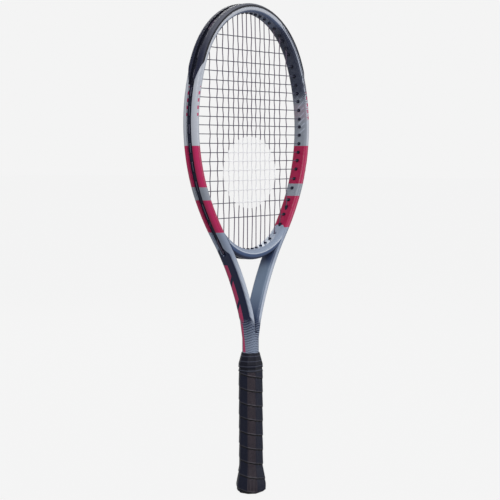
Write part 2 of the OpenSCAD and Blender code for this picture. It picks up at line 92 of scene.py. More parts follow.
def rise(tree, value, start, end):
    node = addNode(tree, "ShaderNodeMapRange", interpolation_type="SMOOTHSTEP")
    feed(tree, value, node.inputs["Value"])
    node.inputs["From Min"].default_value = start
    node.inputs["From Max"].default_value = end
    return node.outputs["Result"]


def span(tree, value, low, high, soft):
    return calc(tree, "MULTIPLY", rise(tree, value, low - soft, low + soft),
                calc(tree, "SUBTRACT", 1.0, rise(tree, value, high - soft, high + soft)))


def blendColour(tree, mask, under, over):
    node = addNode(tree, "ShaderNodeMix", data_type="RGBA")
    feed(tree, mask, node.inputs[0])
    feed(tree, under, node.inputs[6])
    feed(tree, over, node.inputs[7])
    return node.outputs[2]


def places(tree):
    coordinates = addNode(tree, "ShaderNodeTexCoord")
    spot = addNode(tree, "ShaderNodeSeparateXYZ")
    facing = addNode(tree, "ShaderNodeSeparateXYZ")
    tree.links.new(coordinates.outputs["Object"], spot.inputs[0])
    tree.links.new(coordinates.outputs["Normal"], facing.inputs[0])
    return coordinates.outputs["Object"], spot.outputs, facing.outputs


def noise(tree, where, scale, detail=3.0):
    node = addNode(tree, "ShaderNodeTexNoise")
    feed(tree, where, node.inputs["Vector"])
    node.inputs["Scale"].default_value = scale
    node.inputs["Detail"].default_value = detail
    return node.outputs["Fac"]


# Small unevenness that every moulded or lacquered surface has
def buildSurfaceGrain():
    group = bpy.data.node_groups.new("surfaceGrain", "ShaderNodeTree")
    for name, kind, way in (("Scale", "NodeSocketFloat", "INPUT"), ("Depth", "NodeSocketFloat", "INPUT"),
                            ("Colour", "NodeSocketColor", "INPUT"), ("Spread", "NodeSocketFloat", "INPUT"),
                            ("Colour", "NodeSocketColor", "OUTPUT"), ("Roughness", "NodeSocketFloat", "OUTPUT"),
                            ("Height", "NodeSocketFloat", "OUTPUT")):
        group.interface.new_socket(name=name, in_out=way, socket_type=kind)
    start = group.nodes.new("NodeGroupInput")
    end = group.nodes.new("NodeGroupOutput")
    coordinates = addNode(group, "ShaderNodeTexCoord")
    fine = addNode(group, "ShaderNodeTexNoise")
    group.links.new(coordinates.outputs["Object"], fine.inputs["Vector"])
    group.links.new(start.outputs["Scale"], fine.inputs["Scale"])
    broad = noise(group, coordinates.outputs["Object"], 28.0)
    swing = calc(group, "MULTIPLY_ADD", calc(group, "SUBTRACT", broad, 0.5), start.outputs["Spread"], 1.0)
    tint = addNode(group, "ShaderNodeVectorMath", operation="SCALE")
    group.links.new(start.outputs["Colour"], tint.inputs[0])
    group.links.new(swing, tint.inputs["Scale"])
    group.links.new(tint.outputs[0], end.inputs["Colour"])
    group.links.new(calc(group, "MULTIPLY_ADD", broad, 0.12, -0.06), end.inputs["Roughness"])
    group.links.new(calc(group, "MULTIPLY", fine.outputs["Fac"], start.outputs["Depth"]), end.inputs["Height"])
    return group


surfaceGrain = buildSurfaceGrain()


def finishMaterial(material, colour, roughness, grain, bump=0.4, extraHeight=None, coat=0.0, sheen=0.0, metallic=0.0,
                   gloss=0.5):
    tree = material.node_tree
    shader = tree.nodes["Principled BSDF"]
    group = addNode(tree, "ShaderNodeGroup", node_tree=surfaceGrain)
    group.inputs["Scale"].default_value = grain[0]
    group.inputs["Depth"].default_value = grain[1]
    group.inputs["Spread"].default_value = grain[2]
    feed(tree, colour, group.inputs["Colour"])
    tree.links.new(group.outputs["Colour"], shader.inputs["Base Color"])
    tree.links.new(calc(tree, "ADD", group.outputs["Roughness"], roughness, clamp=True), shader.inputs["Roughness"])
    height = group.outputs["Height"]
    if extraHeight is not None:
        height = calc(tree, "ADD", height, extraHeight)
    bumpNode = addNode(tree, "ShaderNodeBump")
    bumpNode.inputs["Strength"].default_value = bump
    bumpNode.inputs["Distance"].default_value = 0.0004
    tree.links.new(height, bumpNode.inputs["Height"])
    tree.links.new(bumpNode.outputs["Normal"], shader.inputs["Normal"])
    shader.inputs["Metallic"].default_value = metallic
    shader.inputs["Specular IOR Level"].default_value = gloss
    shader.inputs["Coat Weight"].default_value = coat
    shader.inputs["Coat Roughness"].default_value = 0.08
    shader.inputs["Sheen Weight"].default_value = sheen


def newMaterial(name):
    material = bpy.data.materials.new(name)
    material.use_nodes = True
    return material, material.node_tree


# Painted frame
paintSet = {"silver": "b4b9c4", "silverInner": "8c939f", "crownBlue": "53617f", "navy": "0e1430",
            "crimson": "9c0f42", "crimsonLight": "cf3470", "slate": "8995ab", "slateDark": "3d4a69", "pale": "b3bccd",
            "panel": "151e3e", "bar": "b03562", "steel": "71829a",
            "bandEdges": (0.489, 0.434, 0.4165, 0.372), "bandSoft": 0.0003, "rough": 0.3,
            "grain": (900.0, 0.5, 0.08), "bump": 0.1, "coat": 0.12, "gloss": 0.25,
            "barPitch": 0.034, "barGap": 0.2, "tickPitch": 0.0095, "grooveHalf": 0.0043,
            "dotRows": 2100.0, "dotColumns": 250.0, "dotCentre": 0.51, "coverRise": (0.538, 0.572),
            "coverFall": (0.648, 0.668), "strokeRows": 820.0, "dashRows": 520.0, "lineRows": 2600.0,
            "hatchRows": 1500.0}
# Bridge paint: rings of colour around the centre of the head's lower arc, painted light and shade: a lighter upper
# face, a painted highlight along the lip, painted shade on the front and the underside
bridgePaintSet = {"centre": 0.4475, "light": "8f9cb1", "lipHighlight": "bcc5d4", "side": "41557a", "under": "242d4a",
                  "lipHighlightRadii": (0.1078, 0.1084), "sideRadii": (0.1088, 0.1098), "underRadii": (0.1128, 0.1146)}


def finishPaint(material, colour, s):
    finishMaterial(material, colour, s["rough"], s["grain"], bump=s["bump"], coat=s["coat"], gloss=s["gloss"])


def buildFramePaint(s):
    material, tree = newMaterial("framePaint")
    where, spot, facing = places(tree)
    x, y, z = spot[0], spot[1], spot[2]
    # how much a surface looks away from the middle of the head or of the throat
    depthTerm = calc(tree, "MINIMUM", calc(tree, "MAXIMUM", calc(tree, "SUBTRACT", z, 0.52), -0.03), 0.2)
    depthTerm = calc(tree, "MULTIPLY", depthTerm, rise(tree, z, 0.34, 0.40))
    length = calc(tree, "SQRT", calc(tree, "ADD", calc(tree, "MULTIPLY", x, x),
                                     calc(tree, "MULTIPLY", depthTerm, depthTerm)))
    outward = calc(tree, "DIVIDE", calc(tree, "ADD", calc(tree, "MULTIPLY", x, facing[0]),
                                        calc(tree, "MULTIPLY", depthTerm, facing[2])), length)
    outer = rise(tree, outward, 0.4, 0.5)
    inner = rise(tree, calc(tree, "MULTIPLY", outward, -1.0), 0.3, 0.6)
    front = rise(tree, calc(tree, "ABSOLUTE", facing[1]), 0.5, 0.85)
    depth = calc(tree, "ABSOLUTE", y)

    # upper head: silver, bluer and darker up to the crown
    crown = rise(tree, z, 0.60, 0.655)
    upper = blendColour(tree, inner, shade(s["silver"]), shade(s["silverInner"]))
    upper = blendColour(tree, calc(tree, "MULTIPLY", inner, crown), upper, shade(s["crownBlue"]))
    # halftone: rows of dots that close up into navy on the shoulder
    across = calc(tree, "SINE", calc(tree, "MULTIPLY", y, s["dotRows"]))
    bearing = calc(tree, "ARCTAN2", x, calc(tree, "SUBTRACT", z, s["dotCentre"]))
    along = calc(tree, "SINE", calc(tree, "MULTIPLY", bearing, s["dotColumns"]))
    dots = calc(tree, "MULTIPLY", across, along)
    cover = calc(tree, "MULTIPLY", rise(tree, z, *s["coverRise"]),
                 calc(tree, "SUBTRACT", 1.0, rise(tree, z, *s["coverFall"])))
    cover = calc(tree, "MULTIPLY", cover, calc(tree, "SUBTRACT", 1.0, calc(tree, "MULTIPLY", front, 0.05)))
    halftone = rise(tree, calc(tree, "ADD", dots, calc(tree, "MULTIPLY_ADD", cover, 2.15, -1.35)), -0.2, 0.2)
    rightOrInner = calc(tree, "MAXIMUM", rise(tree, x, 0.0, 0.02), inner)
    # short strokes and crimson dots on the grey below the halftone
    slant = calc(tree, "ADD", z, calc(tree, "MULTIPLY", y, 0.8))
    strokes = calc(tree, "SINE", calc(tree, "MULTIPLY", slant, s["strokeRows"]))
    strokes = calc(tree, "MULTIPLY", calc(tree, "GREATER_THAN", strokes, 0.55), span(tree, z, 0.508, 0.57, 0.004))
    strokes = calc(tree, "MULTIPLY", strokes, calc(tree, "MULTIPLY", inner, span(tree, y, -0.0085, 0.002, 0.0003)))
    upper = blendColour(tree, calc(tree, "MULTIPLY", strokes, 0.7), upper, shade(s["pale"]))
    specks = calc(tree, "MULTIPLY", calc(tree, "GREATER_THAN", dots, 0.62), span(tree, z, 0.528, 0.572, 0.006))
    upper = blendColour(tree, calc(tree, "MULTIPLY", specks, rightOrInner), upper, shade(s["bar"]))
    upper = blendColour(tree, calc(tree, "MULTIPLY", halftone, rightOrInner), upper, shade(s["navy"]))
    # rows of light dashes on the navy
    rowsLit = calc(tree, "MULTIPLY", calc(tree, "MULTIPLY", rise(tree, dots, 0.3, 0.6), cover), rightOrInner)
    upper = blendColour(tree, calc(tree, "MULTIPLY", rowsLit, 0.45), upper, shade(s["slate"]))
    # small bars on the front of the shoulders
    ticks = calc(tree, "FRACT", calc(tree, "DIVIDE", z, s["tickPitch"]))
    ticks = calc(tree, "MULTIPLY", calc(tree, "GREATER_THAN", ticks, 0.52), span(tree, z, 0.528, 0.567, 0.0002))
    ticks = calc(tree, "MULTIPLY", ticks, calc(tree, "MULTIPLY", front, span(tree, outward, -0.12, 0.3, 0.02)))
    upper = blendColour(tree, ticks, upper, shade(s["bar"]))
    # a thin light line around the front shoulder, broken into dashes lower down
    dash = calc(tree, "SINE", calc(tree, "MULTIPLY", z, s["dashRows"]))
    dash = calc(tree, "GREATER_THAN", dash, calc(tree, "MULTIPLY_ADD", rise(tree, z, 0.55, 0.63), -2.0, 0.4))
    line = calc(tree, "MULTIPLY", calc(tree, "MULTIPLY", dash, span(tree, outward, -0.5, -0.28, 0.04)),
                calc(tree, "MULTIPLY", span(tree, z, 0.52, 0.67, 0.004), rise(tree, depth, 0.0085, 0.0095)))
    upper = blendColour(tree, calc(tree, "MULTIPLY", line, 0.8), upper, shade(s["pale"]))

    # crimson bands with a grey one between them
    a, b, c, d = s["bandEdges"]
    edge = s["bandSoft"]
    glow = noise(tree, where, 9.0, 1.0)
    # painted highlight: lighter crimson on the front and back faces and on the outer wall away from the groove
    crimson = blendColour(tree, calc(tree, "MULTIPLY", front, 0.25), shade(s["crimson"]), shade(s["crimsonLight"]))
    crimson = blendColour(tree, calc(tree, "MULTIPLY", calc(tree, "MULTIPLY", rise(tree, depth, 0.004, 0.009), outer),
                                     0.5), crimson, shade(s["crimsonLight"]))
    crimson = blendColour(tree, calc(tree, "MULTIPLY", glow, 0.2), crimson, shade(s["crimsonLight"]))
    colour = blendColour(tree, span(tree, z, b, a, edge), upper, crimson)
    colour = blendColour(tree, span(tree, z, c, b, edge), colour, shade(s["silverInner"]))
    colour = blendColour(tree, span(tree, z, d, c, edge), colour, crimson)

    # below: slate, a navy panel outside the arms and a slate gradient inside them
    low = calc(tree, "SUBTRACT", 1.0, rise(tree, z, d - edge, d + edge))
    armInside = blendColour(tree, rise(tree, z, 0.235, 0.29), shade(s["slateDark"]), shade(s["steel"]))
    armInside = blendColour(tree, span(tree, z, 0.322, 0.345, 0.008), armInside, shade(s["slateDark"]))
    slate = blendColour(tree, rise(tree, z, 0.30, 0.36), shade(s["pale"]), shade(s["slate"]))
    lower = blendColour(tree, calc(tree, "MULTIPLY", inner, calc(tree, "SUBTRACT", 1.0, rise(tree, z, 0.345, 0.36))),
                        slate, armInside)
    limit = calc(tree, "MULTIPLY_ADD", calc(tree, "SUBTRACT", 1.0, rise(tree, z, 0.336, 0.352)), 0.0095, 0.0036)
    panel = calc(tree, "MULTIPLY", outer, calc(tree, "LESS_THAN", depth, limit))
    panel = calc(tree, "MULTIPLY", panel, calc(tree, "SUBTRACT", 1.0, calc(tree, "MULTIPLY", front, 0.9)))
    # thin lines that thin out towards the handle
    bowed = calc(tree, "ADD", z, calc(tree, "MULTIPLY", calc(tree, "MULTIPLY", y, y), 22.0))
    wave = calc(tree, "SINE", calc(tree, "MULTIPLY", bowed, s["lineRows"]))
    fade = calc(tree, "SUBTRACT", 1.0, rise(tree, z, 0.203, 0.262))
    lines = calc(tree, "LESS_THAN", wave, calc(tree, "MULTIPLY_ADD", fade, 1.95, -1.3))
    panelColour = blendColour(tree, lines, shade(s["panel"]), shade(s["slate"]))
    # slanted bars along the panel's back half
    slope = calc(tree, "ADD", z, calc(tree, "MULTIPLY", y, 1.6))
    repeat = calc(tree, "FRACT", calc(tree, "DIVIDE", slope, s["barPitch"]))
    bars = calc(tree, "MULTIPLY", calc(tree, "GREATER_THAN", repeat, s["barGap"]),
                span(tree, y, 0.0018, 0.0088, 0.0001))
    bars = calc(tree, "MULTIPLY", bars, span(tree, z, 0.2, 0.325, 0.0003))
    panelColour = blendColour(tree, bars, panelColour, shade(s["bar"]))
    lower = blendColour(tree, panel, lower, panelColour)
    # the lines run on around the shaft, with a crimson stripe at the back
    foot = calc(tree, "SUBTRACT", 1.0, rise(tree, z, 0.236, 0.25))
    lower = blendColour(tree, calc(tree, "MULTIPLY", foot, lines), lower, shade(s["slate"]))
    between = calc(tree, "MULTIPLY", foot, calc(tree, "SUBTRACT", 1.0, lines))
    lower = blendColour(tree, between, lower, shade(s["panel"]))
    slip = calc(tree, "MULTIPLY_ADD", calc(tree, "SUBTRACT", z, 0.2), 0.1, 0.0002)
    stripe = calc(tree, "MULTIPLY", span(tree, z, 0.2, 0.24, 0.001),
                  span(tree, calc(tree, "SUBTRACT", y, slip), 0.0, 0.0055, 0.0002))
    stripe = calc(tree, "MULTIPLY", stripe, calc(tree, "GREATER_THAN", outward, 0.3))
    lower = blendColour(tree, stripe, lower, shade(s["bar"]))
    # fine hatch on the front edge of the right arm
    hatch = calc(tree, "ADD", z, calc(tree, "MULTIPLY", x, 1.4))
    hatch = calc(tree, "SINE", calc(tree, "MULTIPLY", hatch, s["hatchRows"]))
    hatch = calc(tree, "MULTIPLY", calc(tree, "GREATER_THAN", hatch, 0.2),
                 calc(tree, "MULTIPLY", front, rise(tree, outward, 0.15, 0.3)))
    lower = blendColour(tree, calc(tree, "MULTIPLY", hatch, 0.5), lower, shade(s["slate"]))
    colour = blendColour(tree, low, colour, lower)
    # the string groove
    trench = calc(tree, "MULTIPLY", calc(tree, "LESS_THAN", depth, s["grooveHalf"]), rise(tree, z, 0.352, 0.358))
    colour = blendColour(tree, calc(tree, "MULTIPLY", trench, outer), colour, shade(s["navy"]))
    finishPaint(material, colour, s)
    return material


def buildBridgePaint(s, tones):
    material, tree = newMaterial("bridgePaint")
    _, spot, _ = places(tree)
    drop = calc(tree, "SUBTRACT", spot[2], tones["centre"])
    radius = calc(tree, "SQRT", calc(tree, "ADD", calc(tree, "MULTIPLY", spot[0], spot[0]),
                                     calc(tree, "MULTIPLY", drop, drop)))
    # painted light: the light upper face, a painted highlight ring along the lip, and painted shade darkening the
    # front side and the underside
    colour = blendColour(tree, rise(tree, radius, *tones["lipHighlightRadii"]), shade(tones["light"]), shade(tones["lipHighlight"]))
    colour = blendColour(tree, rise(tree, radius, *tones["sideRadii"]), colour, shade(tones["side"]))
    colour = blendColour(tree, rise(tree, radius, *tones["underRadii"]), colour, shade(tones["under"]))
    finishPaint(material, colour, s)
    return material


# Guard plastic: a ribbed band with a channel along the middle, and a painted highlight on its upper front
guardPaintSet = {"dark": "161b36", "paintedSheen": "62646f", "channel": "1b1d29", "rim": "15161f", "centre": 0.5565,
                 "ribRows": 330.0, "markRows": 1250.0, "channelEdge": (0.0036, 0.0044), "rimEdge": (0.0111, 0.0116)}


def buildGuardPlastic(s):
    material, tree = newMaterial("guardPlastic")
    _, spot, _ = places(tree)
    x, y, z = spot[0], spot[1], spot[2]
    # painted highlight: the front half of the guard lighter towards the top of the head
    lit = calc(tree, "MULTIPLY", rise(tree, z, 0.60, 0.672), rise(tree, calc(tree, "MULTIPLY", y, -1.0), 0.0, 0.004))
    colour = blendColour(tree, lit, shade(s["dark"]), shade(s["paintedSheen"]))
    channel = calc(tree, "SUBTRACT", 1.0, rise(tree, calc(tree, "ABSOLUTE", y), *s["channelEdge"]))
    marks = calc(tree, "ADD", z, calc(tree, "MULTIPLY", y, 1.1))
    marks = calc(tree, "SINE", calc(tree, "MULTIPLY", marks, s["markRows"]))
    colour = blendColour(tree, calc(tree, "MULTIPLY", channel, 0.85), colour, shade(s["channel"]))
    edge = rise(tree, calc(tree, "ABSOLUTE", y), *s["rimEdge"])
    colour = blendColour(tree, edge, colour, shade(s["rim"]))
    bearing = calc(tree, "ARCTAN2", x, calc(tree, "SUBTRACT", z, s["centre"]))
    ribs = calc(tree, "SINE", calc(tree, "MULTIPLY", bearing, s["ribRows"]))
    ribbed = calc(tree, "MULTIPLY", ribs, span(tree, calc(tree, "ABSOLUTE", y), 0.0045, 0.0102, 0.0004))
    finishMaterial(material, colour, 0.45, (1400.0, 1.0, 0.15), bump=0.5, gloss=0.3,
                   extraHeight=calc(tree, "ADD", calc(tree, "MULTIPLY", ribbed, 0.8),
                                    calc(tree, "MULTIPLY", calc(tree, "MULTIPLY", marks, channel), 1.2)))
    return material


def buildPlain(name, colour, roughness, grain, **more):
    material, _ = newMaterial(name)
    finishMaterial(material, shade(colour), roughness, grain, **more)
    return material


# String with a plain white disc stencilled on the bed
stencilSet = {"height": 0.452, "halfWidth": 0.062, "halfHeight": 0.05, "ink": "f1f1f5"}


def buildStringPlastic(name, colour, s):
    material, tree = newMaterial(name)
    _, spot, _ = places(tree)
    dx = calc(tree, "DIVIDE", spot[0], s["halfWidth"])
    dz = calc(tree, "DIVIDE", calc(tree, "SUBTRACT", spot[2], s["height"]), s["halfHeight"])
    far = calc(tree, "ADD", calc(tree, "MULTIPLY", dx, dx), calc(tree, "MULTIPLY", dz, dz))
    disc = calc(tree, "SUBTRACT", 1.0, rise(tree, far, 0.97, 1.03))
    tint = blendColour(tree, disc, shade(colour), shade(s["ink"]))
    finishMaterial(material, tint, 0.35, (3000.0, 0.3, 0.1), bump=0.1)
    return material


# Grip skin: punched holes, a painted highlight on the facets facing the camera, and a painted highlight on the edge
# where one turn overlaps the next
gripSkinSet = {"radius": 0.0155, "holeRows": 2100.0, "pitch": 0.0205, "seamStart": 0.1787, "skin": "0c1126",
               "skinLit": "231e28", "hole": "262b40", "holeLit": "756a70", "paintedSheen": "5d5a62", "seam": "030304"}


def buildGripSkin(s):
    material, tree = newMaterial("gripSkin")
    _, spot, facing = places(tree)
    around = calc(tree, "MULTIPLY", calc(tree, "ARCTAN2", spot[1], spot[0]), s["radius"])
    rows = calc(tree, "SINE", calc(tree, "MULTIPLY", calc(tree, "ADD", around, spot[2]), s["holeRows"]))
    columns = calc(tree, "SINE", calc(tree, "MULTIPLY", calc(tree, "SUBTRACT", around, spot[2]), s["holeRows"]))
    hole = rise(tree, calc(tree, "MULTIPLY", rows, columns), 0.45, 0.75)
    # painted highlight: skin and holes lighter on the facets that face the camera
    towards = calc(tree, "MULTIPLY", calc(tree, "ADD", facing[0], facing[1]), -0.7071)
    lit = rise(tree, towards, 0.8, 0.99)
    skin = blendColour(tree, lit, shade(s["skin"]), shade(s["skinLit"]))
    colour = blendColour(tree, hole, skin, blendColour(tree, lit, shade(s["hole"]), shade(s["holeLit"])))
    # overlap of one turn on the next: a dark line with a painted highlight along the edge under it, brighter on the
    # lit facets
    turn = calc(tree, "ADD", calc(tree, "DIVIDE", calc(tree, "SUBTRACT", spot[2], s["seamStart"]), s["pitch"]),
                calc(tree, "DIVIDE", calc(tree, "ARCTAN2", spot[1], spot[0]), 2 * math.pi))
    phase = calc(tree, "FRACT", calc(tree, "ADD", turn, 40.0))
    paintedSheen = calc(tree, "MULTIPLY", span(tree, phase, 0.05, 0.11, 0.02), calc(tree, "MULTIPLY_ADD", lit, 0.5, 0.4))
    colour = blendColour(tree, paintedSheen, colour, shade(s["paintedSheen"]))
    seam = calc(tree, "MAXIMUM", calc(tree, "SUBTRACT", 1.0, rise(tree, phase, 0.03, 0.05)),
                rise(tree, phase, 0.95, 0.98))
    colour = blendColour(tree, seam, colour, shade(s["seam"]))
    finishMaterial(material, colour, 0.4, (1800.0, 1.0, 0.25), bump=0.6,
                   extraHeight=calc(tree, "MULTIPLY", hole, -1.6), gloss=0.22)
    return material


# Plastic or rubber with fine raised rings at the given heights, tinted lighter as a painted highlight
def buildRinged(name, colour, ringHighlight, roughness, grain, heights):
    material, tree = newMaterial(name)
    _, spot, _ = places(tree)
    rings = 0.0
    for height in heights:
        rings = calc(tree, "ADD", rings, span(tree, spot[2], height - 0.0006, height + 0.0006, 0.0002))
    # painted highlight: the rings are tinted lighter than the plastic
    tint = blendColour(tree, rings, shade(colour), shade(ringHighlight))
    finishMaterial(material, tint, roughness, grain, extraHeight=calc(tree, "MULTIPLY", rings, 1.5), gloss=0.22)
    return material


materials = {
    "frame": buildFramePaint(paintSet),
    "throat_bridge": buildBridgePaint(paintSet, bridgePaintSet),
    "bumper_guard": buildGuardPlastic(guardPaintSet),
    "grommet_strip": buildPlain("grommetPlastic", "171b30", 0.42, (1500.0, 0.8, 0.15), gloss=0.25),
    "main_strings": buildStringPlastic("mainString", "5a4b62", stencilSet),
    "cross_strings": buildStringPlastic("crossString", "47475c", stencilSet),
    "handle_pallet": buildPlain("palletFoam", "2e2e32", 0.8, (700.0, 2.0, 0.2)),
    "bridge_core": buildPlain("coreFoam", "d9c79b", 0.9, (500.0, 3.0, 0.2)),
    "butt_cap": buildPlain("capPlastic", "0c0c10", 0.4, (1600.0, 0.8, 0.15), gloss=0.25),
    "staple": buildPlain("stapleSteel", "a9abb0", 0.3, (2500.0, 0.5, 0.2), metallic=1.0),
    "base_grip": buildGripSkin(gripSkinSet),
    "finishing_tape": buildRinged("tapeVinyl", "0a0d1c", "3a3d4c", 0.5, (900.0, 0.6, 0.2), (0.1746,)),
    "rubber_collar": buildRinged("collarRubber", "0b0e1f", "3a3d4c", 0.45, (2200.0, 0.8, 0.2),
                                 (0.1806, 0.1876, 0.1946)),
}


def materialFor(node):
    for key in ("grommet_strip", "handle_pallet"):
        if node.startswith(key):
            return materials[key]
    if node.endswith("staples") or node.endswith("staple"):
        return materials["staple"]
    if node.startswith("butt_cap"):
        return materials["butt_cap"]
    return materials[node]


for nodeName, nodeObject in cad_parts.items():
    nodeObject.data.materials.clear()
    nodeObject.data.materials.append(materialFor(nodeName))
print("materials made")

# Head outline, in millimetres
headSet = {"tip": 685, "halfHead": 136, "beamWidth": 11, "guard": 1.5, "crownAngle": 64.7, "sideRadius": 221,
           "lowerSideAngle": 27.9, "hipRadius": 336, "hipAngle": 10.9, "bridgeDrop": 340.5, "bridgeRadius": 103,
           "bridgeHeight": 14, "bridgeExit": 42.5, "armRadius": 360.0}


def headOutline(s):
    turn = math.radians(s["crownAngle"])
    crown = (s["halfHead"] - s["sideRadius"] * (1 - math.sin(turn))) / math.sin(turn)
    crownMid = (0, s["tip"] - s["guard"] - crown)
    sideMid = (crownMid[0] + (crown - s["sideRadius"]) * math.sin(turn),
               crownMid[1] + (crown - s["sideRadius"]) * math.cos(turn))
    h = math.radians(90 + s["lowerSideAngle"])
    hipMid = (sideMid[0] + (s["sideRadius"] - s["hipRadius"]) * math.sin(h),
              sideMid[1] + (s["sideRadius"] - s["hipRadius"]) * math.cos(h))
    k = math.radians(90 + s["lowerSideAngle"] + s["hipAngle"])
    reach = s["hipRadius"] + s["armRadius"]
    armMid = (hipMid[0] + reach * math.sin(k), hipMid[1] + reach * math.cos(k))
    bridgeMid = s["tip"] - s["bridgeDrop"] + s["bridgeRadius"]

    def onRight(z, out):
        if z >= sideMid[1] + (s["sideRadius"] + out) * math.cos(turn):
            return math.sqrt((crown + out) ** 2 - (z - crownMid[1]) ** 2)
        if z >= sideMid[1] + (s["sideRadius"] + out) * math.cos(h):
            return sideMid[0] + math.sqrt((s["sideRadius"] + out) ** 2 - (z - sideMid[1]) ** 2)
        return hipMid[0] + math.sqrt((s["hipRadius"] + out) ** 2 - (z - hipMid[1]) ** 2)

    def onTop(x, out):
        return crownMid[1] + math.sqrt((crown + out) ** 2 - x * x)

    def onHip(x, out):
        if abs(x) >= hipMid[0] + (s["hipRadius"] + out) * math.sin(k):
            return hipMid[1] - math.sqrt((s["hipRadius"] + out) ** 2 - (abs(x) - hipMid[0]) ** 2)
        return armMid[1] + math.sqrt((s["armRadius"] - out) ** 2 - (abs(x) - armMid[0]) ** 2)

    def onBridge(x, out):
        return bridgeMid - math.sqrt((s["bridgeRadius"] + s["bridgeHeight"] + out) ** 2 - x * x)

    return onRight, onTop, onHip, onBridge


onRight, onTop, onHip, onBridge = headOutline(headSet)

# Woven strings
stringSet = {"mainGaps": (5.2, 10, 10.5, 11, 11.5, 12.5, 13, 16.5),
             "crossGaps": (46.2, 18, 17, 14, 12.5, 12, 11.5, 13, 12.5, 11.5,
                           12, 12.5, 12.5, 12, 12.5, 14, 13.5, 17, 20.5),
             "radius": 0.65, "mainWeave": 0.45, "crossWeave": 0.88, "layer": 0.7, "loopOut": -0.75, "steps": 4}


def runningTotals(gaps):
    totals, reached = [], 0
    for gap in gaps:
        reached += gap
        totals.append(reached)
    return totals


halfMains = runningTotals(stringSet["mainGaps"])
mainPlaces = [-x for x in reversed(halfMains)] + halfMains
crossPlaces = [headSet["tip"] - d for d in runningTotals(stringSet["crossGaps"])]


def throughBridge(x):
    return abs(x) < 55


def ease(a, b, t):
    return a + (b - a) * (0.5 - 0.5 * math.cos(math.pi * t))


# heights along one string: (place, offset) knots joined by smooth steps
def wavePoints(knots, steps):
    points = []
    for (p, q), (u, v) in zip(knots, knots[1:]):
        points += [(p + (u - p) * t / steps, ease(q, v, t / steps)) for t in range(steps)]
    return points + [knots[-1]]


def mainPath(i, s):
    x = mainPlaces[i]
    top = onTop(x, s["loopOut"])
    foot = onBridge(x, -headSet["bridgeHeight"]) if throughBridge(x) else onHip(x, s["loopOut"])
    inside = onTop(x, -headSet["beamWidth"])
    lowest = foot + (0 if throughBridge(x) else headSet["beamWidth"] * 1.25)
    side = s["layer"]
    knots = [(foot, side)] + ([(lowest, side)] if lowest > foot else [])
    for j in reversed(range(len(crossPlaces))):
        z = crossPlaces[j]
        if lowest + 2 < z < inside - 2 and abs(x) < onRight(z, -headSet["beamWidth"]) - 2:
            knots.append((z, s["mainWeave"] * (1 if (i + j) % 2 else -1)))
    knots += [(inside, side), (top, side)]
    points = [(x, y, z) for z, y in wavePoints(knots, s["steps"])]
    if throughBridge(x):
        out = math.copysign(min(abs(x), headSet["bridgeExit"]), x)
        points.insert(0, (out, side, onBridge(out, s["loopOut"])))
    return points


def crossPath(j, s):
    z = crossPlaces[j]
    end = onRight(z, s["loopOut"])
    inside = onRight(z, -headSet["beamWidth"])
    side = -s["layer"]
    knots = [(-end, side), (-inside, side)]
    for i, x in enumerate(mainPlaces):
        foot = onBridge(x, -headSet["bridgeHeight"]) if throughBridge(x) else onHip(x, s["loopOut"]) + 13
        if abs(x) < inside - 2 and foot + 2 < z < onTop(x, -headSet["beamWidth"]) - 2:
            knots.append((x, -s["crossWeave"] * (1 if (i + j) % 2 else -1)))
    knots += [(inside, side), (end, side)]
    return [(x, y, z) for x, y in wavePoints(knots, s["steps"])]


def loopPoints(a, b, rule, side, count=5):
    return [(a + (b - a) * t / count, side, rule(a + (b - a) * t / count)) for t in range(1, count)]


def buildStrings(name, paths, radius, material):
    curve = bpy.data.curves.new(name, "CURVE")
    curve.dimensions = "3D"
    curve.bevel_depth = radius * mm
    curve.bevel_resolution = 1
    curve.use_fill_caps = True
    for path in paths:
        spline = curve.splines.new("POLY")
        spline.points.add(len(path) - 1)
        for point, place in zip(spline.points, path):
            point.co = (place[0] * mm, place[1] * mm, place[2] * mm, 1)
    piece = bpy.data.objects.new(name, curve)
    bpy.context.scene.collection.objects.link(piece)
    bpy.ops.object.select_all(action="DESELECT")
    piece.select_set(True)
    bpy.context.view_layer.objects.active = piece
    bpy.ops.object.convert(target="MESH")
    bpy.ops.object.shade_smooth()
    piece.data.materials.clear()
    piece.data.materials.append(material)
    return piece


def weaveMains(s):
    path = []
    for i in range(len(mainPlaces)):
        up = mainPath(i, s)
        path += up if i % 2 == 0 else up[::-1]
        if i + 1 < len(mainPlaces):
            a, b = mainPlaces[i], mainPlaces[i + 1]
            if i % 2 == 0:
                path += loopPoints(a, b, lambda x: onTop(x, s["loopOut"]), s["layer"])
            elif throughBridge(a) and throughBridge(b):
                a, b = (math.copysign(min(abs(v), headSet["bridgeExit"]), v) for v in (a, b))
                path += loopPoints(a, b, lambda x: onBridge(x, s["loopOut"]), s["layer"])
            else:
                path += loopPoints(a, b, lambda x: onHip(x, s["loopOut"]), s["layer"])
    return buildStrings("wovenMains", [path], s["radius"], materials["main_strings"])


def weaveCrosses(s):
    path = []
    for j in range(len(crossPlaces)):
        across = crossPath(j, s)
        path += across if j % 2 == 0 else across[::-1]
        if j + 1 < len(crossPlaces):
            side = 1 if j % 2 == 0 else -1
            a, b = crossPlaces[j], crossPlaces[j + 1]
            path += [(side * onRight(a + (b - a) * t / 5, s["loopOut"]), -s["layer"], a + (b - a) * t / 5)
                     for t in range(1, 5)]
    return buildStrings("wovenCrosses", [path], s["radius"], materials["cross_strings"])


wovenMains = weaveMains(stringSet)
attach(wovenMains, "racket")
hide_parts("main_strings")
wovenCrosses = weaveCrosses(stringSet)
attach(wovenCrosses, "racket")
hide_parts("cross_strings")
print("strings woven")

